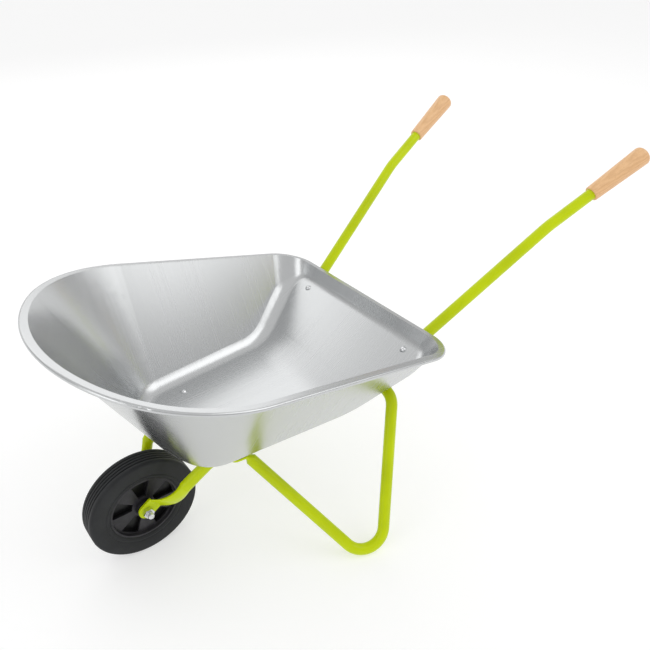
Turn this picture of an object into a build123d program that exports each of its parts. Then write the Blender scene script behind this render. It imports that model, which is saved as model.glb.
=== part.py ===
from build123d import *
from math import copysign, cos, pi, radians, sin, sqrt, tan
import os

# A child's garden wheelbarrow: a pressed steel tray on two bent handle tubes, two bent
# stand legs, wooden grips and one rubber-tyred wheel.
# Millimetres. While the parts are made, X points forward to the wheel, Y to the left hand
# of the person who pushes, Z up, and the axle stands over X = 0. The whole model is moved
# at the end, so that its origin is on the ground below its middle.

# Wheel
TYRE_RADIUS = 75.0
TYRE_WIDTH = 30.0
TYRE_SHOULDER = 4.5          # rounding between tread and side wall
TYRE_BEAD_RADIUS = 47.5      # inner edge of the rubber
TYRE_BEAD_FLARE = 3.5        # the side wall spreads to full width over this height
GROOVE_COUNT = 4
GROOVE_SPACING = 4.8
GROOVE_WIDTH = 1.6
GROOVE_DEPTH = 1.5
RIM_BAND = 3.5               # plastic band under the tyre
RIM_WIDTH = 26.0
RIM_BAND_DRAFT = 1.0         # the band thins by this from the spokes to its edge
SPOKE_COUNT = 5
SPOKE_FACE = 16.0            # across the wheel, from spoke face to spoke face
WEB_THICKNESS = 3.0          # closed web between the spokes
POCKET_ANGLE = 36.0
POCKET_PHASE = 19.0
POCKET_INNER_RADIUS = 16.0
POCKET_CORNER = 1.5
POCKET_EDGE = 0.8            # from the band to the outer end of each pocket
HUB_RADIUS = 12.5
HUB_LENGTH = 30.0
RUNNING_CLEARANCE = 0.08     # radial play of the hub on the axle
END_PLAY = 0.3               # side play of the hub against each washer
SEAT_GAP = 0.02              # between faces that are screwed or pushed together

# Axle and fasteners
AXLE_RADIUS = 4.0
AXLE_END = 6.5               # thread that stands out of the nut
AXLE_NUT_WIDTH = 13.0
AXLE_NUT_HEIGHT = 6.5
AXLE_HEAD_HEIGHT = 5.3
AXLE_WASHER_RADIUS = 8.0
AXLE_WASHER_THICKNESS = 1.6
BOLT_RADIUS = 2.5
BOLT_HEAD_RADIUS = 4.8
BOLT_HEAD_HEIGHT = 2.9
BOLT_END = 2.0
BOLT_NUT_WIDTH = 8.0
BOLT_NUT_HEIGHT = 4.0
BOLT_WASHER_RADIUS = 5.0
BOLT_WASHER_THICKNESS = 1.0
HOLE_CLEARANCE = 0.15        # radial play of a bolt in its hole
CHAMFER = 0.6                # on nuts, heads and thread ends

# Tray
SHEET = 1.0                  # thickness of the steel
WALL_INSET = 1.25            # sheet measured level across a sloping wall
FLOOR_HEIGHT = 165.0         # underside of the tray floor above the ground
FLOOR_REAR_X = -344.0        # where the steep rear wall would meet the floor's level
FLOOR_FRONT_X = -33.5
FLOOR_REAR_HALF = 121.0
FLOOR_TAPER = -5.3           # degrees that each side turns outward, going forward
FLOOR_CORNER = 33.0
FLOOR_SHOULDER = 44.0
FLOOR_NOSE = 170.0
RAMP_START_X = -272.0        # where the floor turns up towards the rear
RAMP_ANGLE = 35.6
RAMP_BLEND = 90.0
BOTTOM_BLEND = 25.0          # round edge between floor and walls
BOTTOM_FACE_DROP = 0.7       # a bottom face looks down by at least this
BOTTOM_FACE_SKEW = 0.01      # and sideways by less than this
RIM_HEIGHT = 343.5           # rim plane above the ground, over the axle
RIM_TILT = 12.36             # degrees, higher at the front
RIM_REAR = -401.5            # along the rim plane
RIM_FRONT = 85.4
RIM_REAR_HALF = 187.0
RIM_TAPER = 2.3
RIM_CORNER = 52.0
RIM_SHOULDER = 165.0
RIM_NOSE = 227.0
FLANGE_WIDTH = 9.0           # from the wall to the outside of the rolled edge
CURL_RADIUS = 2.8            # rolled edge
CURL_ANGLE = 250.0

# Handle tubes
TUBE_RADIUS = 8.0
TUBE_WALL = 1.2
TUBE_GAP = 0.1               # between the tube and the sheet that lies on it
RAIL_FRONT_X = -79.0
RAIL_FRONT_HALF = 66.0       # half spacing of the tubes at the front bend
RAIL_REAR_HALF = 88.0        # and at the rear bend
RAIL_REAR_BEND = 60.0
RAIL_FRONT_BEND = 30.0
HANDLE_SPLAY = 10.9          # in the plane of the ramp
HANDLE_LENGTH = 381.0
HANDLE_BEND = 110.0
GRIP_RISE = 26.9
GRIP_SPLAY = 11.4
FORK_DROP = 42.6
FORK_TOE_IN = 17.1
FORK_ROUND_LENGTH = 53.0     # from the front bend to where the tube begins to flatten
FORK_NECK_BACK = 1.0         # the half-flattened neck lies off the straight way by these
FORK_NECK_OUT = 4.5
FORK_NECK_DROP = 6.0
FLAT_WIDTH = 23.0
FLAT_THICKNESS = 3.0
PRESSED_STEP = 0.1           # the pressed part is this much slimmer than what it runs into
PRESSED_LAP = 1.0            # and runs this far into the flat end
FLAT_SECTION_POINTS = 24
NECK_THICKNESS = 7.2         # tube half pressed
ROUND_SQUARENESS = 2.0       # section shape from round to flat with rounded edges
NECK_SQUARENESS = 2.3
STRIP_SQUARENESS = 4.0
FORK_EYE_LENGTH = 15.0       # from the axle back to where the flat end bends outward
FORK_EYE_RISE = 33.0         # degrees

# Grips
GRIP_START = 79.0            # from the handle bend to the mouth of the grip
GRIP_LENGTH = 99.0
GRIP_MOUTH_RADIUS = 10.8
GRIP_END_RADIUS = 13.8
GRIP_END_ROUND = 6.0
GRIP_MOUTH_ROUND = 1.2
GRIP_BORE_DEPTH = 70.0
GRIP_CLEARANCE = 0.05        # radial, between tube and bore
GRIP_BOTTOM_GAP = 0.3        # from the tube's end to the bottom of the bore

# Stand legs
LEG_FOOT_X = -233.7          # corner of the two straight runs, below the foot bend
LEG_FOOT_HALF = 225.8
LEG_FOOT_BEND = 30.0
LEG_TOP_X = -321.0
LEG_TOP_HALF = 137.5
LEG_TOP_HEIGHT = 182.0
LEG_TOP_BEND = 20.0
LEG_REAR_JOINT = 64.0        # up the ramp from the tube's rear bend
LEG_EYE_LENGTH = 11.0        # flat end, from its middle to where it begins
LEG_FLATTENING = 13.0        # length over which the round tube flattens
LEG_FOOT_TRIALS = 30

# Tray bolts
FRONT_BOLT_X = -111.0
REAR_BOLT_RUN = 117.0        # up the ramp from the tube's rear bend


# ------------------------------------------------------------------ shared geometry

def unit(vector):
    return Vector(vector).normalized()


def heading(rise, splay):
    """Direction that goes back and up by rise, and outward by splay, in degrees."""
    level = cos(radians(rise))
    return Vector(-level * cos(radians(splay)), level * sin(radians(splay)), sin(radians(rise)))


RIM_ALONG = Vector(cos(radians(RIM_TILT)), 0, sin(radians(RIM_TILT)))
RIM_UP = Vector(-sin(radians(RIM_TILT)), 0, cos(radians(RIM_TILT)))
RIM_PLANE = Plane((0, 0, RIM_HEIGHT), x_dir=RIM_ALONG, z_dir=RIM_UP)
FLOOR_PLANE = Plane((0, 0, FLOOR_HEIGHT))
RAMP_UP = heading(RAMP_ANGLE, 0)
RAMP_OUT = Vector(-RAMP_UP.Z, 0, RAMP_UP.X)      # square to the ramp, down and back

# Centre lines of the left handle tube
RAIL_OFFSET = TUBE_RADIUS + TUBE_GAP
RAIL_HEIGHT = FLOOR_HEIGHT - RAIL_OFFSET
RAIL_FRONT = Vector(RAIL_FRONT_X, RAIL_FRONT_HALF, RAIL_HEIGHT)
RAIL_REAR_X = RAMP_START_X - RAIL_OFFSET * tan(radians(RAMP_ANGLE / 2))
RAIL_REAR = Vector(RAIL_REAR_X, RAIL_REAR_HALF, RAIL_HEIGHT)
HANDLE_WAY = RAMP_UP * cos(radians(HANDLE_SPLAY)) + Vector(0, sin(radians(HANDLE_SPLAY)), 0)
HANDLE_CORNER = RAIL_REAR + HANDLE_WAY * HANDLE_LENGTH
GRIP_WAY = heading(GRIP_RISE, GRIP_SPLAY)
FORK_WAY = heading(FORK_DROP, FORK_TOE_IN) * -1
FORK_ROUND_END = RAIL_FRONT + FORK_WAY * FORK_ROUND_LENGTH
EYE_HALF = HUB_LENGTH / 2 + END_PLAY + AXLE_WASHER_THICKNESS + SEAT_GAP + FLAT_THICKNESS / 2
EYE_CENTRE = Vector(0, EYE_HALF, TYRE_RADIUS)

# Leg ends lie against the tubes; the rear one is welded there
FLAT_OFFSET = TUBE_RADIUS + FLAT_THICKNESS / 2 + SEAT_GAP
LEG_REAR_END = RAIL_REAR + HANDLE_WAY * LEG_REAR_JOINT + RAMP_OUT * FLAT_OFFSET
RAIL_WAY = unit(RAIL_REAR - RAIL_FRONT)
FRONT_BOLT = RAIL_FRONT + RAIL_WAY * ((FRONT_BOLT_X - RAIL_FRONT_X) / RAIL_WAY.X)
REAR_BOLT = RAIL_REAR + HANDLE_WAY * REAR_BOLT_RUN

# Point on the tube's centre line and direction towards the bolt head
FRONT_BOLT_LINE = (FRONT_BOLT, Vector(0, 0, 1))
REAR_BOLT_LINE = (REAR_BOLT, RAMP_OUT * -1)


def arc_between(centre, radius, start, end):
    """The shorter arc about centre, from start to end."""
    middle = centre + unit((start - centre) + (end - centre)) * radius
    return ThreePointArc(start, middle, end)


def left_and_right(name, shape):
    return {name + "_left": shape, name + "_right": shape.mirror(Plane.XZ)}


# ------------------------------------------------------------------ tray

def tray_outline(rear, front, rear_half, taper, corner, shoulder, nose, inset):
    """Plan of the tray: straight back, tapered sides, round corners and a bowed nose."""
    along = Vector(cos(radians(taper)), sin(radians(taper)))
    outward = Vector(-along.Y, along.X)
    side = outward.dot(Vector(rear, rear_half)) - inset
    rear += inset
    front -= inset
    corner -= inset
    shoulder -= inset
    nose -= inset
    corner_y = (side - corner + along.Y * (rear + corner)) / along.X
    corner_centre = Vector(rear + corner, corner_y)
    nose_centre = Vector(front - nose, 0)
    offset = side - shoulder - outward.dot(nose_centre)
    advance = sqrt((nose - shoulder)**2 - offset**2)
    shoulder_centre = nose_centre + outward * offset + along * advance
    back_end = Vector(rear, corner_y)
    side_start = corner_centre + outward * corner
    side_end = shoulder_centre + outward * shoulder
    nose_start = nose_centre + unit(shoulder_centre - nose_centre) * nose
    left = [
        Line((rear, 0), back_end),
        arc_between(corner_centre, corner, back_end, side_start),
        Line(side_start, side_end),
        arc_between(shoulder_centre, shoulder, side_end, nose_start),
        arc_between(nose_centre, nose, nose_start, Vector(front, 0)),
    ]
    right = [edge.mirror(Plane.XZ) for edge in reversed(left)]
    return Wire(left + right)


def floor_wire(inset):
    outline = tray_outline(FLOOR_REAR_X, FLOOR_FRONT_X, FLOOR_REAR_HALF, FLOOR_TAPER,
                           FLOOR_CORNER, FLOOR_SHOULDER, FLOOR_NOSE, inset)
    return FLOOR_PLANE.location * outline


def rim_wire(inset):
    outline = tray_outline(RIM_REAR, RIM_FRONT, RIM_REAR_HALF, RIM_TAPER,
                           RIM_CORNER, RIM_SHOULDER, RIM_NOSE, inset)
    return RIM_PLANE.location * outline


def below_floor(rise):
    """All that lies under the floor and its rear ramp, raised by the sheet for the inside."""
    reach = RIM_FRONT - RIM_REAR
    level = FLOOR_HEIGHT + rise
    turn = Vector(RAMP_START_X + rise * tan(radians(RAMP_ANGLE / 2)), 0, level)
    front_end = Vector(reach, 0, level)
    rear_end = turn + RAMP_UP * reach
    top = FilletPolyline(front_end, turn, rear_end, radius=RAMP_BLEND - rise)
    rest = Polyline(rear_end, (rear_end.X, 0, -reach), (reach, 0, -reach), front_end)
    return extrude(make_face([top, rest]), reach, dir=(0, 1, 0), both=True)


def bottom_edges(bowl):
    """The closed chain of edges where the walls meet the floor and the ramp."""
    bottom = []
    for face in bowl.faces():
        normal = face.normal_at()
        if normal.Z < -BOTTOM_FACE_DROP and abs(normal.Y) < BOTTOM_FACE_SKEW:
            bottom.append(face)
    edges = [edge for face in bottom for edge in face.edges()]
    return [edge for edge in edges if sum(edge == other for other in edges) == 1]


def tray_bowl(inset, rise):
    """Walls ruled between floor level and rim, cut by the floor, with a round bottom edge."""
    walls = loft([Face(floor_wire(inset)), Face(rim_wire(FLANGE_WIDTH + inset))], ruled=True)
    bowl = walls - below_floor(rise)
    return fillet(bottom_edges(bowl), BOTTOM_BLEND - rise)


def rolled_edge():
    """The sheet curled down and under, all along the outside of the rim."""
    path = rim_wire(CURL_RADIUS)
    section = Plane(path @ 0, x_dir=RIM_ALONG * -1, z_dir=path % 0)
    up = section.y_dir.dot(RIM_UP)
    inner = CURL_RADIUS - SHEET

    def on_curl(radius, angle):
        turn = radians(90 - angle)
        return Vector(radius * cos(turn), up * (radius * sin(turn) - CURL_RADIUS))

    outside = ThreePointArc(on_curl(CURL_RADIUS, 0), on_curl(CURL_RADIUS, CURL_ANGLE / 2),
                            on_curl(CURL_RADIUS, CURL_ANGLE))
    inside = ThreePointArc(on_curl(inner, CURL_ANGLE), on_curl(inner, CURL_ANGLE / 2),
                           on_curl(inner, 0))
    lip = Line(outside @ 1, inside @ 0)
    root = Line(inside @ 1, outside @ 0)
    profile = section * make_face([outside, lip, inside, root])
    return sweep(profile, path)


def tray():
    """One pressed sheet: bowl, level flange and rolled edge, drilled for the four bolts."""
    shell = tray_bowl(0, 0) - tray_bowl(WALL_INSET, SHEET)
    flange_face = Face(rim_wire(CURL_RADIUS)) - Face(rim_wire(FLANGE_WIDTH + WALL_INSET))
    shell += extrude(flange_face, SHEET, dir=RIM_UP * -1)
    shell += rolled_edge()
    for bolt_centre, bolt_way in (FRONT_BOLT_LINE, REAR_BOLT_LINE):
        hole = bolt_hole(bolt_centre, bolt_way)
        shell -= hole
        shell -= hole.mirror(Plane.XZ)
    return shell


# ------------------------------------------------------------------ bent tubes

def flat_section(width, thickness, squareness):
    """A closed outline between a circle (squareness 2) and a flat strip with round edges."""
    points = []
    for step in range(FLAT_SECTION_POINTS):
        turn = 2 * pi * step / FLAT_SECTION_POINTS
        across = copysign(abs(cos(turn))**(2 / squareness), cos(turn))
        through = copysign(abs(sin(turn))**(2 / squareness), sin(turn))
        points.append(Vector(across * width / 2, through * thickness / 2))
    return Face(Wire([Edge.make_spline(points, periodic=True)]))


def flattened(start, start_way, end, end_way, flat_across, neck):
    """A round tube end pressed flat on the way from start, over the neck, to end."""
    full = 2 * TUBE_RADIUS - PRESSED_STEP
    flat_width = FLAT_WIDTH - PRESSED_STEP
    flat_thickness = FLAT_THICKNESS - PRESSED_STEP
    half_width = (full + FLAT_WIDTH) / 2
    stations = [
        (start, start_way, full, full, ROUND_SQUARENESS),
        (neck, unit(end - start), half_width, NECK_THICKNESS, NECK_SQUARENESS),
        (end + end_way * PRESSED_LAP, end_way, flat_width, flat_thickness, STRIP_SQUARENESS),
    ]
    sections = []
    for origin, way, width, thickness, squareness in stations:
        across = flat_across - way * flat_across.dot(way)
        section = Plane(origin, x_dir=across, z_dir=way)
        sections.append(section * flat_section(width, thickness, squareness))
    return loft(sections)


def eye_plate(centre, flat_normal, back_way, length):
    """The flat end itself: a strip with a round end about centre."""
    plane = Plane(centre - flat_normal * (FLAT_THICKNESS / 2), x_dir=back_way, z_dir=flat_normal)
    strip = Pos(length / 2, 0) * Rectangle(length, FLAT_WIDTH) + Circle(FLAT_WIDTH / 2)
    return extrude(plane * strip, FLAT_THICKNESS)


def bent_tube(points, bends):
    """A hollow round tube along straight runs joined by bends."""
    path = FilletPolyline(*points, radius=bends)
    section = Plane(path @ 0, z_dir=path % 0)
    solid = sweep(section * Circle(TUBE_RADIUS), path)
    return solid - sweep(section * Circle(TUBE_RADIUS - TUBE_WALL), path)


def handle_tube():
    """From the flat eye at the axle, under the tray, up the ramp and into the grip."""
    tube_end = HANDLE_CORNER + GRIP_WAY * (GRIP_START + GRIP_BORE_DEPTH - GRIP_BOTTOM_GAP)
    tube = bent_tube([FORK_ROUND_END, RAIL_FRONT, RAIL_REAR, HANDLE_CORNER, tube_end],
                     [RAIL_FRONT_BEND, RAIL_REAR_BEND, HANDLE_BEND])
    eye_back = heading(FORK_EYE_RISE, 0)
    eye_start = EYE_CENTRE + eye_back * FORK_EYE_LENGTH
    eye_across = eye_back.cross(Vector(0, 1, 0))
    neck_offset = Vector(-FORK_NECK_BACK, FORK_NECK_OUT, -FORK_NECK_DROP)
    neck = (FORK_ROUND_END + eye_start) * 0.5 + neck_offset
    tube += flattened(FORK_ROUND_END - FORK_WAY, FORK_WAY, eye_start, eye_back * -1, eye_across, neck)
    tube += eye_plate(EYE_CENTRE, Vector(0, 1, 0), eye_back, FORK_EYE_LENGTH)
    axle_hole = Cylinder(AXLE_RADIUS + HOLE_CLEARANCE, 2 * FLAT_THICKNESS)
    tube -= Pos(EYE_CENTRE) * Rot(90, 0, 0) * axle_hole
    for centre, way in (FRONT_BOLT_LINE, REAR_BOLT_LINE):
        tube -= bolt_hole(centre, way)
    return tube


def leg_foot_corner(front, top):
    """The corner of the straight runs, set so that the foot bend just touches the ground."""
    corner = Vector(LEG_FOOT_X, LEG_FOOT_HALF, 0)
    for _ in range(LEG_FOOT_TRIALS):
        forward = unit(front - corner)
        upward = unit(top - corner)
        half_angle = radians(forward.get_angle(upward) / 2)
        bisector = unit(forward + upward)
        normal = unit(forward.cross(upward))
        centre_z = corner.Z + bisector.Z * LEG_FOOT_BEND / sin(half_angle)
        lowest = centre_z - LEG_FOOT_BEND * sqrt(1 - normal.Z**2) - TUBE_RADIUS
        corner -= Vector(0, 0, lowest)
    return corner


def leg():
    """From a flat eye under the front tray bolt, down to the foot and up to the handle tube."""
    front_eye = FRONT_BOLT + Vector(0, 0, -FLAT_OFFSET)
    front_flat = front_eye + RAIL_WAY * LEG_EYE_LENGTH
    top = Vector(LEG_TOP_X, LEG_TOP_HALF, LEG_TOP_HEIGHT)
    corner = leg_foot_corner(front_flat, top)
    down = unit(corner - front_flat)
    inward = unit(LEG_REAR_END - top)
    against_tube = unit(inward - RAMP_OUT * inward.dot(RAMP_OUT))
    round_start = front_flat + down * LEG_FLATTENING
    round_end = LEG_REAR_END - inward * LEG_FLATTENING
    tube = bent_tube([round_start, corner, top, round_end], [LEG_FOOT_BEND, LEG_TOP_BEND])
    tube += flattened(round_start + down, down * -1, front_flat, RAIL_WAY * -1,
                      RAIL_WAY.cross(Vector(0, 0, 1)), (round_start + front_flat) * 0.5)
    tube += eye_plate(front_eye, Vector(0, 0, 1), RAIL_WAY, LEG_EYE_LENGTH)
    tube += flattened(round_end - inward, inward, LEG_REAR_END, against_tube,
                      HANDLE_WAY, (round_end + LEG_REAR_END) * 0.5)
    saddle = Cylinder(TUBE_RADIUS + SEAT_GAP, 2 * LEG_REAR_JOINT)
    tube -= Plane(RAIL_REAR + HANDLE_WAY * LEG_REAR_JOINT, z_dir=HANDLE_WAY).location * saddle
    return tube - bolt_hole(*FRONT_BOLT_LINE)


# ------------------------------------------------------------------ grips

def grip():
    """A turned wooden handle with a round end, bored to push over the tube."""
    half = make_face(Polyline(
        (0, 0), (0, GRIP_MOUTH_RADIUS), (GRIP_LENGTH, GRIP_END_RADIUS), (GRIP_LENGTH, 0), close=True))
    body = revolve(half, Axis.X)
    circles = body.edges().filter_by(GeomType.CIRCLE).sort_by(Axis.X)
    body = fillet(circles[-1], GRIP_END_ROUND)
    circles = body.edges().filter_by(GeomType.CIRCLE).sort_by(Axis.X)
    body = fillet(circles[0], GRIP_MOUTH_ROUND)
    bore = Cylinder(TUBE_RADIUS + GRIP_CLEARANCE, GRIP_BORE_DEPTH)
    body -= Pos(GRIP_BORE_DEPTH / 2, 0, 0) * Rot(0, 90, 0) * bore
    mouth = HANDLE_CORNER + GRIP_WAY * GRIP_START
    return Plane(mouth, x_dir=GRIP_WAY, z_dir=GRIP_WAY.cross(Vector(0, 1, 0))).location * body


# ------------------------------------------------------------------ wheel

def on_axle(profile):
    """A half profile of (radius, side) turned about the axle."""
    return Pos(0, 0, TYRE_RADIUS) * revolve(profile, Axis.Y)


def mirrored_profile(points):
    """A closed face from half-profile points on one side of the wheel, mirrored to the other."""
    other_side = [(radius, -side) for radius, side in reversed(points)]
    return make_face(Polyline(*points, *other_side, close=True))


def tyre():
    profile = mirrored_profile([
        (TYRE_BEAD_RADIUS, RIM_WIDTH / 2),
        (TYRE_BEAD_RADIUS + TYRE_BEAD_FLARE, TYRE_WIDTH / 2),
        (TYRE_RADIUS, TYRE_WIDTH / 2),
    ])
    profile = fillet(profile.vertices().group_by(Axis.X)[-1], TYRE_SHOULDER)
    for step in range(GROOVE_COUNT):
        side = (step - (GROOVE_COUNT - 1) / 2) * GROOVE_SPACING
        profile -= Pos(TYRE_RADIUS, side) * Rectangle(2 * GROOVE_DEPTH, GROOVE_WIDTH)
    return on_axle(profile)


def wheel_rim():
    """Moulded wheel: band, hub, and a disc with deep closed pockets that leave the spokes."""
    band_outer = TYRE_BEAD_RADIUS - SEAT_GAP
    band_inner = band_outer - RIM_BAND
    face = SPOKE_FACE / 2
    body = on_axle(mirrored_profile([
        (AXLE_RADIUS + RUNNING_CLEARANCE, HUB_LENGTH / 2),
        (HUB_RADIUS, HUB_LENGTH / 2),
        (HUB_RADIUS, face),
        (band_inner, face),
        (band_inner + RIM_BAND_DRAFT, RIM_WIDTH / 2),
        (band_outer, RIM_WIDTH / 2),
    ]))
    depth = (SPOKE_FACE - WEB_THICKNESS) / 2
    half_angle = radians(POCKET_ANGLE / 2)
    reach = 2 * band_inner
    wedge = make_face(Polyline(
        (0, 0), (reach, -reach * tan(half_angle)), (reach, reach * tan(half_angle)), close=True))
    pocket = (Circle(band_inner - POCKET_EDGE) - Circle(POCKET_INNER_RADIUS)) & wedge
    pocket = fillet(pocket.vertices(), POCKET_CORNER)
    centre = Pos(0, 0, TYRE_RADIUS)
    for step in range(SPOKE_COUNT):
        turn = POCKET_PHASE + 360 * step / SPOKE_COUNT
        outline = Plane.XZ * (Rot(0, 0, turn) * pocket)
        for side in (1, -1):
            body -= centre * Pos(0, side * face, 0) * extrude(outline, depth, dir=(0, -side, 0))
    return body


# ------------------------------------------------------------------ fasteners

def bolt_hole(centre, way):
    reach = 2 * (TUBE_RADIUS + FLAT_THICKNESS + BOLT_NUT_HEIGHT)
    hole = Cylinder(BOLT_RADIUS + HOLE_CLEARANCE, reach)
    return Plane(centre, z_dir=way).location * hole


def hexagon(width, height):
    """Bolt head or nut blank on Z = 0, with its corners turned off at both ends."""
    prism = extrude(RegularPolygon(width / 2, 6, major_radius=False), height)
    blank = extrude(Circle(width / sqrt(3)), height)
    blank = chamfer(blank.edges().filter_by(GeomType.CIRCLE), CHAMFER)
    return prism & blank


def hexagon_nut(width, height, bore):
    return hexagon(width, height) - Cylinder(bore, 3 * height)


def washer(outer, bore, thickness):
    return extrude(Circle(outer) - Circle(bore), thickness)


def dome_head(radius, height):
    """A low rounded bolt head standing on Z = 0."""
    sphere = (radius**2 + height**2) / (2 * height)
    profile = make_face([
        Line((0, 0), (radius, 0)),
        RadiusArc((radius, 0), (0, height), -sphere),
        Line((0, height), (0, 0)),
    ])
    return revolve(Plane.XZ * profile, Axis.Z)


def tray_fastener(centre, way, clamped_below):
    """Bolt, washer and nut through tray, tube and what lies below the tube."""
    frame = Plane(centre, z_dir=way).location
    head_seat = TUBE_RADIUS + TUBE_GAP + SHEET + SEAT_GAP
    washer_top = -TUBE_RADIUS - clamped_below - SEAT_GAP
    nut_top = washer_top - BOLT_WASHER_THICKNESS - SEAT_GAP
    end = nut_top - BOLT_NUT_HEIGHT - BOLT_END
    shank = Pos(0, 0, end) * extrude(Circle(BOLT_RADIUS), head_seat - end)
    shank = chamfer(shank.edges().sort_by(Axis.Z)[0], CHAMFER)
    bolt = shank + Pos(0, 0, head_seat) * dome_head(BOLT_HEAD_RADIUS, BOLT_HEAD_HEIGHT)
    bore = BOLT_RADIUS + SEAT_GAP
    ring = Pos(0, 0, washer_top - BOLT_WASHER_THICKNESS) * washer(
        BOLT_WASHER_RADIUS, bore, BOLT_WASHER_THICKNESS)
    nut = Pos(0, 0, nut_top - BOLT_NUT_HEIGHT) * hexagon_nut(BOLT_NUT_WIDTH, BOLT_NUT_HEIGHT, bore)
    return {"bolt": frame * bolt, "washer": frame * ring, "nut": frame * nut}


def axle_fasteners():
    """Hexagon bolt through both fork eyes and the hub, with its head on the right."""
    outer_face = EYE_HALF + FLAT_THICKNESS / 2 + SEAT_GAP
    thread_end = outer_face + AXLE_NUT_HEIGHT + AXLE_END
    seat = Pos(0, 0, TYRE_RADIUS) * Rot(-90, 0, 0)
    shank = Pos(0, 0, -outer_face) * extrude(Circle(AXLE_RADIUS), thread_end + outer_face)
    shank = chamfer(shank.edges().sort_by(Axis.Z)[-1], CHAMFER)
    head = Pos(0, 0, -outer_face - AXLE_HEAD_HEIGHT) * hexagon(AXLE_NUT_WIDTH, AXLE_HEAD_HEIGHT)
    bore = AXLE_RADIUS + SEAT_GAP
    nut = Pos(0, 0, outer_face) * hexagon_nut(AXLE_NUT_WIDTH, AXLE_NUT_HEIGHT, bore)
    ring = washer(AXLE_WASHER_RADIUS, bore, AXLE_WASHER_THICKNESS)
    ring = seat * (Pos(0, 0, HUB_LENGTH / 2 + END_PLAY) * ring)
    pieces = {"axle_bolt": seat * (shank + head), "axle_nut": seat * nut}
    pieces.update(left_and_right("axle_washer", ring))
    return pieces


# ------------------------------------------------------------------ whole model

def wheelbarrow():
    pieces = {"tray": tray(), "tyre": tyre(), "wheel_rim": wheel_rim()}
    pieces.update(left_and_right("handle_tube", handle_tube()))
    pieces.update(left_and_right("leg", leg()))
    pieces.update(left_and_right("grip", grip()))
    pieces.update(axle_fasteners())
    leg_eye = FLAT_THICKNESS + SEAT_GAP
    for place, line, clamped in (("front", FRONT_BOLT_LINE, leg_eye), ("rear", REAR_BOLT_LINE, 0.0)):
        for kind, shape in tray_fastener(*line, clamped).items():
            pieces.update(left_and_right("tray_" + kind + "_" + place, shape))
    return pieces


def main():
    pieces = wheelbarrow()
    boxes = [shape.bounding_box() for shape in pieces.values()]
    rear = min(box.min.X for box in boxes)
    front = max(box.max.X for box in boxes)
    ground = min(box.min.Z for box in boxes)
    shift = Pos(-(rear + front) / 2, 0, -ground)
    os.makedirs("parts", exist_ok=True)
    for name, shape in pieces.items():
        export_step(shift * shape, "parts/" + name + ".step")


main()
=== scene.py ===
from math import cos, pi, radians, sin

import bpy
from bpy.props import FloatProperty, FloatVectorProperty, IntProperty, PointerProperty
from mathutils import Matrix, Vector


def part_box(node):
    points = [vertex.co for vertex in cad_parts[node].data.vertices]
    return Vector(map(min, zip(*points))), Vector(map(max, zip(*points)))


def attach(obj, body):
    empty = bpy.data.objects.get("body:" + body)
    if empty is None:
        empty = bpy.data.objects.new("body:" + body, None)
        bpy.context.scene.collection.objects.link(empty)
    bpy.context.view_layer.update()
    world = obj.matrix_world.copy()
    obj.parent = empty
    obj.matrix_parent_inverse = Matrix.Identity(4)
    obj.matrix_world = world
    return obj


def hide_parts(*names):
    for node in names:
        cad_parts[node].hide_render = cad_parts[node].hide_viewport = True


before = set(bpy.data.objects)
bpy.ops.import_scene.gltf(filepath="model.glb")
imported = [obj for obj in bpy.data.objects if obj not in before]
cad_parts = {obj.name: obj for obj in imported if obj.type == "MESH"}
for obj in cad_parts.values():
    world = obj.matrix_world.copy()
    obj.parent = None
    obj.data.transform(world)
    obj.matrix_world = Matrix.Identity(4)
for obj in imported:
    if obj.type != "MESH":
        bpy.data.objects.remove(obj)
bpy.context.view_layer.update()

bl_info = {
    "name": "Child's wheelbarrow",
    "version": (1, 0, 0),
    "blender": (4, 5, 0),
    "location": "View3D > Sidebar > Wheelbarrow",
    "description": "Finishes for a small wheelbarrow: zinc tray, lime tubes, beech grips, rubber wheel",
    "category": "Add Mesh",
}

SIDES = ("left", "right")
PLACES = ("front", "rear")
GRIP_RISE = radians(26.9)        # of each grip above the level
GRIP_SPLAY = radians(11.4)       # outward, from straight back
RAMP_ANGLE = radians(35.6)       # the rear tray bolts stand square to the ramp
NUT_THICKNESS = 0.004            # of the tray bolts' nuts

# Threads that stand out of the nuts: radius at the helix, and half the ridge's width.
AXLE_THREAD_RADIUS = 0.0039
AXLE_THREAD_CREST = 0.00042
AXLE_THREAD_START = 0.0002       # clear of the nut's face
AXLE_THREAD_STOP = 0.0012        # short of the bolt's end, which is bevelled
TRAY_THREAD_RADIUS = 0.00244
TRAY_THREAD_CREST = 0.00028
TRAY_THREAD_HEIGHT = 0.0013


# ------------------------------------------------------------------ settings

def colour(name, description, default):
    return FloatVectorProperty(name=name, description=description, default=default,
                               size=3, min=0.0, max=1.0, subtype="COLOR")


def length(name, description, default):
    return FloatProperty(name=name, description=description, default=default,
                         min=0.0, subtype="DISTANCE", unit="LENGTH")


def amount(name, description, default):
    return FloatProperty(name=name, description=description, default=default,
                         min=0.0, max=1.0, subtype="FACTOR")


class TraySettings(bpy.types.PropertyGroup):
    zinc: colour("Zinc", "Colour of the tray's zinc coat", (0.585, 0.595, 0.60))
    roughness: amount("Roughness", "How dull the sheet is", 0.26)
    roll_lines: amount("Rolling lines", "Strength of the fine lines left by rolling the sheet", 0.2)


class TubeSettings(bpy.types.PropertyGroup):
    paint: colour("Paint", "Colour of the powder coat", (0.58, 0.71, 0.0))
    orange_peel: length("Orange peel", "Height of the ripples in the coat", 0.00004)


class GripSettings(bpy.types.PropertyGroup):
    light_wood: colour("Light wood", "Early wood", (0.90, 0.56, 0.285))
    dark_wood: colour("Dark wood", "Late wood and flecks", (0.62, 0.33, 0.14))
    ring_spacing: length("Ring spacing", "Distance between growth rings", 0.0028)


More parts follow.
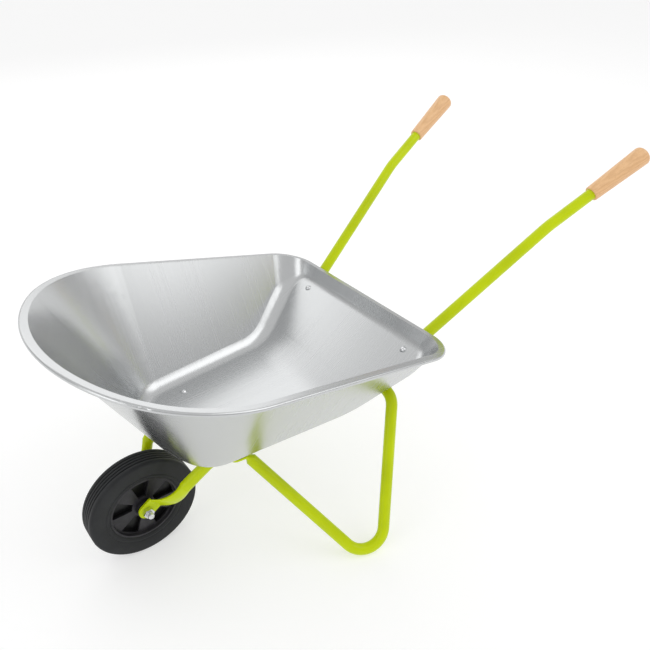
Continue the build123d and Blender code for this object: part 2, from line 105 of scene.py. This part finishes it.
class WheelSettings(bpy.types.PropertyGroup):
    rubber: colour("Rubber", "Colour of the tyre", (0.0095, 0.0105, 0.0115))
    plastic: colour("Plastic", "Colour of the moulded rim", (0.019, 0.018, 0.021))
    tyre_radius: length("Tyre radius", "Outside radius of the tread", 0.075)
    tyre_width: length("Tyre width", "Across the side walls", 0.030)
    bead_radius: length("Bead radius", "Where the rubber meets the rim", 0.0475)
    bead_width: length("Bead width", "Across the rubber at the rim", 0.026)
    groove_count: IntProperty(name="Grooves", description="Grooves round the tread", default=4, min=0, max=8)
    groove_spacing: length("Groove spacing", "From groove to groove", 0.0048)
    groove_width: length("Groove width", "Width of each groove", 0.0016)
    groove_depth: length("Groove depth", "Depth of each groove", 0.0015)


class FastenerSettings(bpy.types.PropertyGroup):
    zinc: colour("Bright zinc", "Colour of bolts, nuts and washers", (0.78, 0.79, 0.80))
    axle_pitch: length("Axle thread pitch", "From crest to crest on the axle bolt", 0.00125)
    tray_pitch: length("Tray bolt pitch", "From crest to crest on the tray bolts", 0.0008)


class StageSettings(bpy.types.PropertyGroup):
    floor: colour("Floor", "Colour of the floor", (0.60, 0.60, 0.60))
    glow: FloatProperty(name="Floor glow", description="Light that the floor gives by itself",
                        default=0.48, min=0.0)
    light: FloatProperty(name="Light", description="Brightness of the surroundings",
                         default=0.78, min=0.0)


# ------------------------------------------------------------------ shader maths

class Value:
    """A shader socket that can be used in sums."""

    def __init__(self, shader, socket):
        self.shader = shader
        self.socket = socket

    def combined(self, operation, first, second):
        node = self.shader.node("ShaderNodeMath", {"operation": operation}, {0: first, 1: second})
        return Value(self.shader, node.outputs[0])

    def __add__(self, other):
        return self.combined("ADD", self, other)

    def __sub__(self, other):
        return self.combined("SUBTRACT", self, other)

    def __rsub__(self, other):
        return self.combined("SUBTRACT", other, self)

    def __mul__(self, other):
        return self.combined("MULTIPLY", self, other)

    def size(self):
        """The value without its sign."""
        return self.combined("ABSOLUTE", self, 0.0)

    __radd__ = __add__
    __rmul__ = __mul__


class Shader:
    """A material and the few calls that build its nodes."""

    def __init__(self, name, **constants):
        self.material = bpy.data.materials.new(name)
        self.material.use_nodes = True
        self.tree = self.material.node_tree
        self.tree.nodes.clear()
        self.surface = self.node("ShaderNodeBsdfPrincipled", {}, constants)
        output = self.node("ShaderNodeOutputMaterial", {}, {})
        self.tree.links.new(self.surface.outputs[0], output.inputs["Surface"])

    def node(self, kind, settings, inputs):
        """Adds a node: settings first, then the values or links of its sockets."""
        node = self.tree.nodes.new(kind)
        for key, value in settings.items():
            setattr(node, key, value)
        for key, value in inputs.items():
            self.feed(node.inputs[key], value)
        return node

    def feed(self, socket, value):
        if isinstance(value, Value):
            self.tree.links.new(value.socket, socket)
        elif socket.type == "RGBA" and len(value) == 3:
            socket.default_value = (*value, 1.0)
        else:
            socket.default_value = value

    def set(self, **inputs):
        """Feeds the surface's own sockets; an underscore stands for a space."""
        for key, value in inputs.items():
            self.feed(self.surface.inputs[key.replace("_", " ")], value)

    def place(self, scale=(1, 1, 1), matrix=None):
        """Object coordinates, turned into a piece's own frame if a matrix is given, then scaled."""
        point = Value(self, self.node("ShaderNodeTexCoord", {}, {}).outputs["Object"])
        if matrix is not None:
            location, rotation, _ = matrix.inverted().decompose()
            point = self.mapped(point, Location=location, Rotation=rotation.to_euler())
        if scale != (1, 1, 1):
            point = self.mapped(point, Scale=scale)
        return point

    def mapped(self, point, **values):
        node = self.node("ShaderNodeMapping", {"vector_type": "POINT"}, {"Vector": point, **values})
        return Value(self, node.outputs[0])

    def noise(self, point, scale, detail=3.0, roughness=0.5, distortion=0.0):
        node = self.node("ShaderNodeTexNoise", {}, {
            "Vector": point, "Scale": scale, "Detail": detail,
            "Roughness": roughness, "Distortion": distortion})
        return Value(self, node.outputs[0])

    def cells(self, point, scale):
        """Distance to the middle of the nearest cell."""
        node = self.node("ShaderNodeTexVoronoi", {}, {"Vector": point, "Scale": scale})
        return Value(self, node.outputs["Distance"])

    def between(self, value, low, high, start=0.0, end=1.0):
        node = self.node("ShaderNodeMapRange", {"interpolation_type": "SMOOTHSTEP"}, {
            "Value": value, "From Min": low, "From Max": high, "To Min": start, "To Max": end})
        return Value(self, node.outputs[0])

    def blend(self, factor, first, second):
        """One colour into another; sockets 6 and 7 are the node's two colours."""
        node = self.node("ShaderNodeMix", {"data_type": "RGBA", "blend_type": "MIX"}, {
            "Factor": factor, 6: first, 7: second})
        return Value(self, node.outputs[2])

    def bump(self, height, distance, strength=1.0, normal=None):
        inputs = {"Height": height, "Distance": distance, "Strength": strength}
        if normal is not None:
            inputs["Normal"] = normal
        return Value(self, self.node("ShaderNodeBump", {}, inputs).outputs[0])

    def eased_edges(self, radius):
        node = self.node("ShaderNodeBevel", {"samples": 6}, {"Radius": radius})
        return Value(self, node.outputs[0])


# ------------------------------------------------------------------ finishes

def zinc_sheet(settings):
    """Zinc-coated steel: fine lines that run up the walls and along the floor, and a soft haze."""
    shader = Shader("zinc_sheet", Metallic=1.0)
    normal = Value(shader, shader.node("ShaderNodeTexCoord", {}, {}).outputs["Normal"])
    facing = shader.node("ShaderNodeSeparateXYZ", {}, {0: normal}).outputs
    faces_x = Value(shader, facing[0]).size()
    faces_y = Value(shader, facing[1]).size()
    side_walls = shader.between(faces_y - faces_x, 0.05, 0.30)
    along_x = shader.noise(shader.place((420.0, 1.5, 1.5)), 1.0, 4.0, 0.65)
    along_y = shader.noise(shader.place((1.5, 420.0, 1.5)), 1.0, 4.0, 0.65)
    lines = along_x * side_walls + along_y * (1 - side_walls) - 0.5
    haze = shader.noise(shader.place(), 4.0, 2.0, 0.45, 0.5) - 0.5
    tone = lines * settings.roll_lines + haze * 0.25 + 0.5
    dark = tuple(part * 0.88 for part in settings.zinc)
    light = tuple(min(1.0, part * 1.12) for part in settings.zinc)
    shader.set(Base_Color=shader.blend(tone, dark, light))
    shader.set(Roughness=haze * 0.08 + lines * 0.12 + settings.roughness)
    shader.set(Normal=shader.bump(lines, 0.00002, settings.roll_lines))
    return shader.material


def powder_coat(settings):
    """Glossy powder coat with a slight orange peel, a cloudy tone with small specks, and eased edges."""
    shader = Shader("lime_powder_coat", **{
        "Specular IOR Level": 0.12, "Coat Weight": 0.20, "Coat Roughness": 0.10})
    cloud = shader.noise(shader.place(), 14.0, 3.0, 0.5)
    speck = shader.cells(shader.place(), 900.0)
    peel = shader.noise(shader.place(), 420.0, 2.0, 0.5)
    deep = tuple(part * 0.86 for part in settings.paint)
    tone = shader.blend(shader.between(cloud, 0.3, 0.7), deep, settings.paint)
    shader.set(Base_Color=shader.blend(shader.between(speck, 0.02, 0.10, 0.25, 0.0), tone, deep))
    shader.set(Roughness=(cloud - 0.5) * 0.10 + (peel - 0.5) * 0.08 + 0.30)
    shader.set(Normal=shader.bump(peel, settings.orange_peel, 0.5, shader.eased_edges(0.0006)))
    return shader.material


def turned_beech(name, settings, matrix):
    """Lacquered beech: growth rings off the turning axis, long grain, and short dark flecks."""
    shader = Shader(name, **{"Coat Weight": 0.15, "Coat Roughness": 0.25})
    wander = shader.noise(shader.place((6.0, 30.0, 30.0), matrix), 1.0, 3.0, 0.55)
    plank = matrix @ Matrix.Rotation(radians(24), 4, "X") @ Matrix.Rotation(radians(3), 4, "Y")
    rings = shader.node("ShaderNodeTexWave", {"wave_type": "BANDS", "bands_direction": "Z"}, {
        "Vector": shader.place(matrix=plank),
        "Scale": 0.3 / settings.ring_spacing, "Distortion": 3.0, "Detail": 2.0,
        "Detail Scale": 1.2, "Detail Roughness": 0.5})
    rings = Value(shader, rings.outputs["Fac"])
    grain = shader.noise(shader.place((26.0, 1100.0, 1100.0), matrix), 1.0, 4.0, 0.6)
    flecks = shader.noise(shader.place((260.0, 2400.0, 1500.0), matrix), 1.0, 1.0, 0.4)
    flecks = shader.between(flecks, 0.61, 0.70)
    tone = rings * 0.16 + wander * 0.42 + grain * 0.40
    wood = shader.blend(shader.between(tone, 0.2, 1.0), settings.light_wood, settings.dark_wood)
    shader.set(Base_Color=shader.blend(flecks * 0.42, wood, settings.dark_wood))
    shader.set(Roughness=grain * 0.16 + flecks * 0.08 + 0.36)
    shader.set(Normal=shader.bump(grain * 0.7 - flecks, 0.00008, 0.4))
    return shader.material


def tyre_rubber(settings):
    """Solid rubber, a little chalky on the side walls, with a fine moulded grain."""
    shader = Shader("tyre_rubber", **{"Specular IOR Level": 0.33})
    grain = shader.noise(shader.place(), 1500.0, 2.0, 0.6)
    bloom = shader.noise(shader.place(), 22.0, 4.0, 0.62, 0.6)
    scuffs = shader.noise(shader.place((60.0, 420.0, 60.0)), 1.0, 3.0, 0.6)
    chalk = tuple(part * 1.7 + 0.003 for part in settings.rubber)
    tone = shader.between(bloom * 0.7 + scuffs * 0.3, 0.40, 0.66, 0.0, 0.8)
    shader.set(Base_Color=shader.blend(tone, settings.rubber, chalk))
    shader.set(Roughness=(bloom - 0.5) * 0.2 + (grain - 0.5) * 0.12 + 0.56)
    shader.set(Normal=shader.bump(grain * 0.6 + scuffs * 0.4, 0.00010, 0.35))
    return shader.material


def moulded_plastic(settings):
    """Black moulded plastic: fine texture on the flats, eased edges, and painted shade that darkens it deep
    in the pockets near the wheel's middle plane.
    """
    shader = Shader("moulded_plastic", **{"Specular IOR Level": 0.32})
    grain = shader.noise(shader.place(), 2200.0, 2.0, 0.55)
    flow = shader.noise(shader.place((1.0, 3.0, 1.0)), 40.0, 3.0, 0.5, 1.2)
    light = tuple(part * 1.8 + 0.002 for part in settings.plastic)
    # Painted shade: the base colour goes nearly black within a few millimetres of the wheel's middle plane,
    # deep in the pockets, in place of the shade that falls there.
    side = shader.node("ShaderNodeSeparateXYZ", {}, {0: shader.place()}).outputs[1]
    from_middle = Value(shader, side).size()
    painted_pocket_shade = tuple(part * 0.12 for part in settings.plastic)
    flat = shader.blend(shader.between(flow, 0.35, 0.75), settings.plastic, light)
    shader.set(Base_Color=shader.blend(shader.between(from_middle, 0.0020, 0.0074), painted_pocket_shade, flat))
    shader.set(Roughness=(flow - 0.5) * 0.18 + (grain - 0.5) * 0.1 + 0.34)
    shader.set(Normal=shader.bump(grain, 0.00006, 0.4, shader.eased_edges(0.0007)))
    return shader.material


def bright_zinc(settings):
    """Bright zinc plate: small tool marks and a slightly milky, uneven shine."""
    shader = Shader("bright_zinc", Metallic=1.0)
    milk = shader.noise(shader.place(), 260.0, 4.0, 0.6)
    marks = shader.noise(shader.place((900.0, 900.0, 5200.0)), 1.0, 2.0, 0.5)
    dull = tuple(part * 0.80 for part in settings.zinc)
    shader.set(Base_Color=shader.blend(shader.between(milk, 0.3, 0.7), dull, settings.zinc))
    shader.set(Roughness=milk * 0.16 + (marks - 0.5) * 0.12 + 0.14)
    shader.set(Normal=shader.bump(marks, 0.00005, 0.3, shader.eased_edges(0.0003)))
    return shader.material


def dress(material, *nodes):
    """Gives CAD nodes their finish."""
    for name in nodes:
        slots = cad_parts[name].data.materials
        slots.clear()
        slots.append(material)


def on_sides(*stems):
    return [stem + "_" + side for stem in stems for side in SIDES]


# ------------------------------------------------------------------ geometry nodes

class Recipe:
    """A geometry node tree with named inputs."""

    def __init__(self, name, inputs):
        self.tree = bpy.data.node_groups.new(name, "GeometryNodeTree")
        self.tree.interface.new_socket("Geometry", in_out="INPUT", socket_type="NodeSocketGeometry")
        self.identifiers = {}
        for label, kind in inputs.items():
            socket = self.tree.interface.new_socket(label, in_out="INPUT", socket_type=kind)
            self.identifiers[label] = socket.identifier
        self.tree.interface.new_socket("Geometry", in_out="OUTPUT", socket_type="NodeSocketGeometry")
        self.given = self.tree.nodes.new("NodeGroupInput")
        self.result = self.tree.nodes.new("NodeGroupOutput")

    def add(self, kind, settings=None, **inputs):
        """Adds a node; inputs are named by socket, with an underscore for a space."""
        node = self.tree.nodes.new(kind)
        for key, value in (settings or {}).items():
            setattr(node, key, value)
        for key, value in inputs.items():
            socket = node.inputs[key.replace("_", " ")]
            if isinstance(value, bpy.types.NodeSocket):
                self.tree.links.new(value, socket)
            else:
                socket.default_value = value
        return node.outputs[0]

    def maths(self, operation, first, second):
        node = self.tree.nodes.new("ShaderNodeMath")
        node.operation = operation
        for socket, value in zip(node.inputs, (first, second)):
            if isinstance(value, bpy.types.NodeSocket):
                self.tree.links.new(value, socket)
            else:
                socket.default_value = value
        return node.outputs[0]

    def finish(self, geometry):
        """Ends the tree in plain, smooth geometry with its material."""
        real = self.add("GeometryNodeRealizeInstances", Geometry=geometry)
        painted = self.add("GeometryNodeSetMaterial", Geometry=real, Material=self.given.outputs["Material"])
        self.tree.links.new(painted, self.result.inputs[0])

    def make(self, name, source, **values):
        """Runs the tree on a source mesh and returns a plain mesh object."""
        holder = bpy.data.objects.new(name + "_source", source)
        bpy.context.scene.collection.objects.link(holder)
        modifier = holder.modifiers.new(self.tree.name, "NODES")
        modifier.node_group = self.tree
        for label, value in values.items():
            modifier[self.identifiers[label.replace("_", " ")]] = value
        bpy.context.view_layer.update()
        graph = bpy.context.evaluated_depsgraph_get()
        mesh = bpy.data.meshes.new_from_object(holder.evaluated_get(graph), depsgraph=graph)
        holder.modifiers.remove(modifier)
        bpy.data.objects.remove(holder)
        mesh.name = name
        if len(mesh.polygons) == 0:
            raise RuntimeError(name + " came out empty")
        piece = bpy.data.objects.new(name, mesh)
        bpy.context.scene.collection.objects.link(piece)
        return piece


def lathe_recipe():
    """Sweeps a closed profile, drawn in X and Y, round a circle about Z."""
    recipe = Recipe("turned_ring", {
        "Segments": "NodeSocketInt", "Radius": "NodeSocketFloat", "Material": "NodeSocketMaterial"})
    profile = recipe.add("GeometryNodeMeshToCurve", Mesh=recipe.given.outputs["Geometry"])
    circle = recipe.add("GeometryNodeCurvePrimitiveCircle", {"mode": "RADIUS"},
                        Resolution=recipe.given.outputs["Segments"], Radius=recipe.given.outputs["Radius"])
    level = recipe.add("GeometryNodeSetCurveNormal", {"mode": "Z_UP"}, Curve=circle)
    ring = recipe.add("GeometryNodeCurveToMesh", Curve=level, Profile_Curve=profile)
    recipe.finish(ring)
    return recipe


def thread_recipe():
    """A screw thread standing on each point, along the point's own way."""
    recipe = Recipe("screw_thread", {
        "Radius": "NodeSocketFloat", "Pitch": "NodeSocketFloat", "Height": "NodeSocketFloat",
        "Crest": "NodeSocketFloat", "Material": "NodeSocketMaterial"})
    given = recipe.given.outputs
    turns = recipe.maths("DIVIDE", given["Height"], given["Pitch"])
    helix = recipe.add("GeometryNodeCurveSpiral", Resolution=40, Rotations=turns,
                       Start_Radius=given["Radius"], End_Radius=given["Radius"], Height=given["Height"])
    level = recipe.add("GeometryNodeSetCurveNormal", {"mode": "Z_UP"}, Curve=helix)
    crest = recipe.add("GeometryNodeCurvePrimitiveCircle", {"mode": "RADIUS"},
                       Resolution=4, Radius=given["Crest"])
    ridge = recipe.add("GeometryNodeCurveToMesh", Curve=level, Profile_Curve=crest, Fill_Caps=True)
    way = recipe.add("GeometryNodeInputNamedAttribute", {"data_type": "FLOAT_VECTOR"}, Name="way")
    turned = recipe.add("FunctionNodeAlignRotationToVector", {"axis": "Z"}, Vector=way)
    placed = recipe.add("GeometryNodeInstanceOnPoints", Points=given["Geometry"], Instance=ridge,
                        Rotation=turned)
    recipe.finish(placed)
    return recipe


def profile_mesh(name, points):
    """A closed loop of edges through points of X and Y."""
    mesh = bpy.data.meshes.new(name)
    count = len(points)
    mesh.from_pydata([(x, y, 0.0) for x, y in points], [(i, (i + 1) % count) for i in range(count)], [])
    return mesh


def points_mesh(name, places):
    """Single points, each with the way its thread stands."""
    mesh = bpy.data.meshes.new(name)
    mesh.from_pydata([point for point, _ in places], [], [])
    ways = mesh.attributes.new("way", "FLOAT_VECTOR", "POINT")
    for index, (_, way) in enumerate(places):
        ways.data[index].vector = way
    return mesh


def settle(piece, body):
    """Rides a new piece on its body."""
    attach(piece, body)


def smooth_by_angle(mesh, angle):
    mesh.shade_smooth()
    mesh.set_sharp_from_angle(angle=angle)


# ------------------------------------------------------------------ operators

def settings_of(context):
    return context.scene.wheelbarrow


class WHEELBARROW_OT_tray(bpy.types.Operator):
    """Give the pressed tray its zinc finish"""
    bl_idname = "wheelbarrow.tray"
    bl_label = "Tray"

    def execute(self, context):
        dress(zinc_sheet(settings_of(context).tray), "tray")
        return {"FINISHED"}


class WHEELBARROW_OT_tubes(bpy.types.Operator):
    """Give the handle tubes and the legs their powder coat"""
    bl_idname = "wheelbarrow.tubes"
    bl_label = "Tubes and legs"

    def execute(self, context):
        dress(powder_coat(settings_of(context).tube), *on_sides("handle_tube", "leg"))
        return {"FINISHED"}


def grip_frame(side):
    """Frame with X along the grip, at the middle of its box."""
    splay = GRIP_SPLAY if side == "left" else -GRIP_SPLAY
    along = Vector((-cos(GRIP_RISE) * cos(splay), cos(GRIP_RISE) * sin(splay), sin(GRIP_RISE)))
    across = Vector((0, 0, 1)).cross(along).normalized()
    low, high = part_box("grip_" + side)
    turn = Matrix((along, across, along.cross(across))).transposed().to_4x4()
    return Matrix.Translation((low + high) / 2) @ turn


class WHEELBARROW_OT_grips(bpy.types.Operator):
    """Give the turned grips their beech grain"""
    bl_idname = "wheelbarrow.grips"
    bl_label = "Grips"

    def execute(self, context):
        for side in SIDES:
            wood = turned_beech("beech_" + side, settings_of(context).grip, grip_frame(side))
            dress(wood, "grip_" + side)
        return {"FINISHED"}


def corner_arc(centre, radius, start, end, steps):
    """Points on an arc from one angle to another, in degrees."""
    angles = [radians(start + (end - start) * step / steps) for step in range(steps + 1)]
    return [(centre[0] + radius * cos(angle), centre[1] + radius * sin(angle)) for angle in angles]


TREAD_CROWN = 0.0002             # the tread falls by this to its edges
TYRE_SHOULDER = 0.0036           # round edge between tread and side wall
GROOVE_LIP = 0.0004              # eased lips and corners of the grooves
SIDE_RING_DEPTH = 0.0006         # shallow ring pressed into each side wall
SIDE_RING_GAP = 0.0065           # from the bead to the ring's middle
BEAD_CURVE = ((0.0040, 0.0), (0.0024, -0.0004), (0.0012, -0.0012))  # from the bead, from the side


def half_tyre_profile(wheel):
    """One side of the tyre's section, from the middle of the tread to the bead: radius and side."""
    half = wheel.tyre_width / 2
    lip = GROOVE_LIP

    def tread(side):
        return wheel.tyre_radius - TREAD_CROWN * (side / half)**2

    points = []
    grooves = [(index - (wheel.groove_count - 1) / 2) * wheel.groove_spacing
               for index in range(wheel.groove_count)]
    for middle in sorted(side for side in grooves if side > 0):
        near = middle - wheel.groove_width / 2
        far = middle + wheel.groove_width / 2
        floor = wheel.tyre_radius - wheel.groove_depth
        points += [(tread(near - lip), near - lip), (tread(near) - lip / 3, near - lip / 4)]
        points += [(floor + lip, near + lip / 2), (floor, near + lip)]
        points += [(floor, far - lip), (floor + lip, far - lip / 2)]
        points += [(tread(far) - lip / 3, far + lip / 4), (tread(far + lip), far + lip)]
    edge = half - TYRE_SHOULDER
    points += corner_arc((tread(edge) - TYRE_SHOULDER, edge), TYRE_SHOULDER, 0, 90, 8)
    bead = wheel.bead_radius
    ring = bead + SIDE_RING_GAP
    depth = SIDE_RING_DEPTH
    points += [(ring + 2 * depth, half), (ring + depth, half - depth / 2), (ring, half - depth)]
    points += [(ring - depth, half - depth / 2), (ring - 2 * depth, half)]
    points += [(bead + out, half + inward) for out, inward in BEAD_CURVE]
    side = wheel.bead_width / 2
    points += [(bead + 0.0004, side + 0.0002), (bead, side - 0.0003)]
    return points


class WHEELBARROW_OT_tyre(bpy.types.Operator):
    """Turn the rubber tyre, with its grooves, side rings and bead"""
    bl_idname = "wheelbarrow.tyre"
    bl_label = "Tyre"

    def execute(self, context):
        wheel = settings_of(context).wheel
        half = half_tyre_profile(wheel)
        outline = half + [(radius, -side) for radius, side in reversed(half)]
        middle = (wheel.tyre_radius + wheel.bead_radius) / 2
        source = profile_mesh("tyre_profile", [(radius - middle, side) for radius, side in outline])
        piece = lathe_recipe().make("rubber_tyre", source, Segments=160, Radius=middle,
                                    Material=tyre_rubber(wheel))
        low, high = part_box("tyre")
        centre = (low + high) / 2
        piece.data.transform(Matrix.Translation(centre) @ Matrix.Rotation(-pi / 2, 4, "X"))
        outward(piece.data, centre, middle)
        smooth_by_angle(piece.data, radians(38))
        settle(piece, "wheel")
        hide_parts("tyre")
        return {"FINISHED"}


def outward(mesh, centre, radius):
    """Turns a ring's faces so that they look away from the ring's own core."""
    face = max(mesh.polygons, key=lambda polygon: polygon.center.z)
    core = centre + Vector((0, 0, radius))
    if face.normal.dot(face.center - core) < 0:
        mesh.flip_normals()


class WHEELBARROW_OT_rim(bpy.types.Operator):
    """Give the wheel rim its moulded plastic"""
    bl_idname = "wheelbarrow.rim"
    bl_label = "Wheel rim"

    def execute(self, context):
        dress(moulded_plastic(settings_of(context).wheel), "wheel_rim")
        return {"FINISHED"}


def nut_bottom(name, way):
    """The middle of a nut's outer face; way points out of it."""
    low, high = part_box(name)
    return (low + high) / 2 + way * (NUT_THICKNESS / 2)


class WHEELBARROW_OT_fasteners(bpy.types.Operator):
    """Plate the bolts, nuts and washers, and cut the threads that stand out of the nuts"""
    bl_idname = "wheelbarrow.fasteners"
    bl_label = "Fasteners"

    def execute(self, context):
        fastener = settings_of(context).fastener
        plate = bright_zinc(fastener)
        stems = ["tray_" + kind + "_" + place for kind in ("bolt", "washer", "nut") for place in PLACES]
        dress(plate, "axle_bolt", "axle_nut", *on_sides("axle_washer", *stems))
        recipe = thread_recipe()
        low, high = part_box("axle_nut")
        middle = (low + high) / 2
        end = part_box("axle_bolt")[1].y
        start = (middle.x, high.y + AXLE_THREAD_START, middle.z)
        source = points_mesh("axle_thread_point", [(start, (0, 1, 0))])
        height = end - high.y - AXLE_THREAD_STOP
        thread = recipe.make("axle_thread", source, Radius=AXLE_THREAD_RADIUS, Height=height,
                             Pitch=fastener.axle_pitch, Crest=AXLE_THREAD_CREST, Material=plate)
        settle(thread, "frame")
        ways = {"front": Vector((0, 0, -1)), "rear": Vector((-sin(RAMP_ANGLE), 0, -cos(RAMP_ANGLE)))}
        places = [(nut_bottom("tray_nut_" + place + "_" + side, way), way)
                  for place, way in ways.items() for side in SIDES]
        source = points_mesh("tray_thread_points", places)
        thread = recipe.make("tray_bolt_threads", source, Radius=TRAY_THREAD_RADIUS,
                             Height=TRAY_THREAD_HEIGHT, Pitch=fastener.tray_pitch,
                             Crest=TRAY_THREAD_CREST, Material=plate)
        settle(thread, "frame")
        return {"FINISHED"}


def soft_box(name, place, size, power):
    """An area light that looks at the middle of the wheelbarrow."""
    light = bpy.data.lights.new(name, "AREA")
    light.shape = "RECTANGLE"
    light.size, light.size_y = size
    light.energy = power
    holder = bpy.data.objects.new(name, light)
    bpy.context.scene.collection.objects.link(holder)
    holder.location = place
    holder.rotation_euler = (LIGHT_TARGET - Vector(place)).to_track_quat("-Z", "Y").to_euler()


CAMERA_PLACE = Vector((0.5209526, 0.6451955, 0.7547634))
CAMERA_AZIMUTH = radians(141.950385)
CAMERA_ELEVATION = radians(32.361707)
CAMERA_ROLL = radians(0.280128)
CAMERA_LENS = 36.947
LIGHT_TARGET = Vector((0.05, 0, 0.25))
SOFT_BOXES = (                   # name, place, size, power in watts
    ("key", (-1.5, 1.3, 2.4), (2.2, 2.2), 16.0),
    ("side", (2.2, 0.2, 1.3), (1.0, 1.6), 6.0),
    ("over_far_side", (-0.3, -2.4, 1.9), (4.0, 1.6), 16.0),
)
SKY_BANDS = ((0.0, 1.3), (0.08, 1.3), (0.22, 0.66), (0.50, 0.86), (0.80, 1.0))  # height, brightness
FLOOR_REACH = 40.0               # from the middle to each edge


class WHEELBARROW_OT_stage(bpy.types.Operator):
    """Lay the pale floor, set the soft lights and place the camera"""
    bl_idname = "wheelbarrow.stage"
    bl_label = "Floor, lights and camera"

    def execute(self, context):
        settings = settings_of(context).stage
        self.lay_floor(settings)
        self.light_room(context.scene, settings)
        self.place_camera(context.scene)
        return {"FINISHED"}

    def lay_floor(self, settings):
        shader = Shader("pale_floor", **{
            "Roughness": 0.85, "Emission Color": (1.0, 1.0, 1.0), "Emission Strength": settings.glow})
        shade = tuple(part * 0.985 for part in settings.floor)
        shader.set(Base_Color=shader.blend(shader.noise(shader.place(), 3.0, 4.0), shade, settings.floor))
        reach = FLOOR_REACH
        mesh = bpy.data.meshes.new("floor")
        corners = [(-reach, -reach, 0), (reach, -reach, 0), (reach, reach, 0), (-reach, reach, 0)]
        mesh.from_pydata(corners, [], [(0, 1, 2, 3)])
        mesh.materials.append(shader.material)
        floor = bpy.data.objects.new("floor", mesh)
        bpy.context.scene.collection.objects.link(floor)

    def light_room(self, scene, settings):
        world = bpy.data.worlds.new("studio")
        world.use_nodes = True
        tree = world.node_tree
        background = tree.nodes["Background"]
        background.inputs["Strength"].default_value = settings.light
        direction = tree.nodes.new("ShaderNodeTexCoord")
        height = tree.nodes.new("ShaderNodeSeparateXYZ")
        bands = tree.nodes.new("ShaderNodeValToRGB")
        tree.links.new(direction.outputs["Generated"], height.inputs[0])
        tree.links.new(height.outputs[2], bands.inputs[0])
        tree.links.new(bands.outputs[0], background.inputs["Color"])
        while len(bands.color_ramp.elements) < len(SKY_BANDS):
            bands.color_ramp.elements.new(1.0)
        for element, (position, shade) in zip(bands.color_ramp.elements, SKY_BANDS):
            element.position = position
            element.color = (shade, shade, shade, 1.0)
        scene.world = world
        for box in SOFT_BOXES:
            soft_box(*box)

    def place_camera(self, scene):
        back = Vector((sin(CAMERA_AZIMUTH) * cos(CAMERA_ELEVATION),
                       -cos(CAMERA_AZIMUTH) * cos(CAMERA_ELEVATION), sin(CAMERA_ELEVATION)))
        right = Vector((0, 0, 1)).cross(back).normalized()
        upward = back.cross(right)
        tilted_right = right * cos(CAMERA_ROLL) + upward * sin(CAMERA_ROLL)
        tilted_up = upward * cos(CAMERA_ROLL) - right * sin(CAMERA_ROLL)
        data = bpy.data.cameras.new("camera")
        data.lens = CAMERA_LENS
        data.sensor_width = 36.0
        data.clip_start = 0.02
        data.clip_end = 200.0
        camera = bpy.data.objects.new("camera", data)
        scene.collection.objects.link(camera)
        turn = Matrix((tilted_right, tilted_up, back)).transposed().to_4x4()
        camera.matrix_world = Matrix.Translation(CAMERA_PLACE) @ turn
        scene.camera = camera
        scene.view_settings.view_transform = "Standard"


class WheelbarrowSettings(bpy.types.PropertyGroup):
    tray: PointerProperty(type=TraySettings, name="Tray")
    tube: PointerProperty(type=TubeSettings, name="Tubes and legs")
    grip: PointerProperty(type=GripSettings, name="Grips")
    wheel: PointerProperty(type=WheelSettings, name="Wheel")
    fastener: PointerProperty(type=FastenerSettings, name="Fasteners")
    stage: PointerProperty(type=StageSettings, name="Stage")


OPERATORS = (
    WHEELBARROW_OT_tray,
    WHEELBARROW_OT_tubes,
    WHEELBARROW_OT_grips,
    WHEELBARROW_OT_tyre,
    WHEELBARROW_OT_rim,
    WHEELBARROW_OT_fasteners,
    WHEELBARROW_OT_stage,
)


class WHEELBARROW_PT_panel(bpy.types.Panel):
    """Settings and steps of the wheelbarrow"""
    bl_label = "Wheelbarrow"
    bl_idname = "WHEELBARROW_PT_panel"
    bl_space_type = "VIEW_3D"
    bl_region_type = "UI"
    bl_category = "Wheelbarrow"

    def draw(self, context):
        settings = settings_of(context)
        for group in ("tray", "tube", "grip", "wheel", "fastener", "stage"):
            box = self.layout.box()
            box.label(text=group.capitalize())
            values = getattr(settings, group)
            for key in values.__annotations__:
                box.prop(values, key)
        for operator in OPERATORS:
            self.layout.operator(operator.bl_idname)


CLASSES = (TraySettings, TubeSettings, GripSettings, WheelSettings, FastenerSettings,
           StageSettings, WheelbarrowSettings, *OPERATORS, WHEELBARROW_PT_panel)


def register():
    for item in CLASSES:
        bpy.utils.register_class(item)
    bpy.types.Scene.wheelbarrow = PointerProperty(type=WheelbarrowSettings)


def unregister():
    del bpy.types.Scene.wheelbarrow
    for item in reversed(CLASSES):
        bpy.utils.unregister_class(item)


def main():
    register()
    for operator in OPERATORS:
        group, name = operator.bl_idname.split(".")
        getattr(getattr(bpy.ops, group), name)()


if __name__ == "__main__":
    main()
